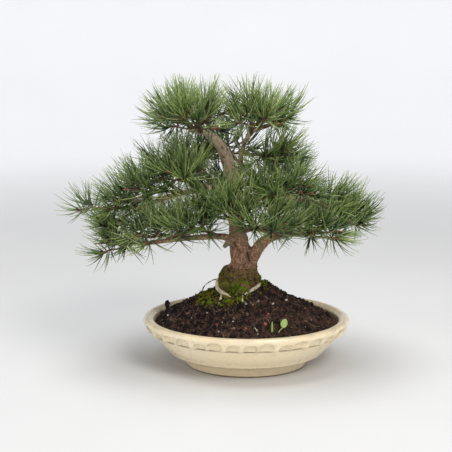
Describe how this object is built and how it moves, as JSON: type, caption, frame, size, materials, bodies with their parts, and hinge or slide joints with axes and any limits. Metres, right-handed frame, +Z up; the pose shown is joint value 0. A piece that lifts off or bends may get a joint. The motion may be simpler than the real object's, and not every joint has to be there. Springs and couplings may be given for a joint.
{
  "type": "bonsai tree in a pot",
  "caption": "Pine grown as an informal upright bonsai in a shallow oval cream-glazed pot with a pressed band under its lip, with dark soil, moss and small seedlings.",
  "frame": {"origin": "the middle of the pot's foot, on the surface that it stands on", "axes": "+X along the length of the oval pot, to the right seen from the front; +Y from front to back; +Z up"},
  "size_m": [0.5052, 0.3353, 0.4577],
  "materials": {
    "pot_glaze": "cream glazed stoneware with dirt in the pressed band, a bare clay foot line and green film at the lip",
    "soil_dark": "dark crumbly damp soil with pale and red granules",
    "pine_bark": "red-brown flaking bark, greyer and smoother on the branches, mossy at the foot",
    "pine_needles": "green waxy needles with yellow-green tips and red-brown buds",
    "seedling_green": "fresh green leaf",
    "dry_straw": "dry pale grass stalk",
    "bark_litter": "dark rough bark chip",
    "mesh_plastic": "black plastic mesh"
  },
  "bodies": {
    "root": {"bark_chip": "bark_litter", "drainage_mesh_left": "mesh_plastic", "drainage_mesh_right": "mesh_plastic", "dry_sprig": "dry_straw", "needles_back_low": "pine_needles", "needles_back_mid": "pine_needles", "needles_back_up": "pine_needles", "needles_crown_back": "pine_needles", "needles_crown_back_west": "pine_needles", "needles_crown_east": "pine_needles", "needles_crown_front": "pine_needles", "needles_crown_front_west": "pine_needles", "needles_crown_tip": "pine_needles", "needles_crown_top": "pine_needles", "needles_crown_west": "pine_needles", "needles_east_back": "pine_needles", "needles_east_far": "pine_needles", "needles_east_front": "pine_needles", "needles_east_low_back": "pine_needles", "needles_east_low_front": "pine_needles", "needles_east_tip": "pine_needles", "needles_east_upper": "pine_needles", "needles_front_low": "pine_needles", "needles_front_mid": "pine_needles", "needles_inner_east": "pine_needles", "needles_west_back": "pine_needles", "needles_west_core": "pine_needles", "needles_west_end": "pine_needles", "needles_west_far": "pine_needles", "needles_west_front": "pine_needles", "needles_west_inner": "pine_needles", "needles_west_inner_back": "pine_needles", "needles_west_inner_up": "pine_needles", "needles_west_low": "pine_needles", "needles_west_low_back": "pine_needles", "needles_west_low_front": "pine_needles", "needles_west_tip": "pine_needles", "needles_west_upper": "pine_needles", "pot": "pot_glaze", "seedling_blade": "seedling_green", "seedling_leaf": "seedling_green", "soil": "soil_dark", "tree_wood": "pine_bark"}
  },
  "joints": []
}
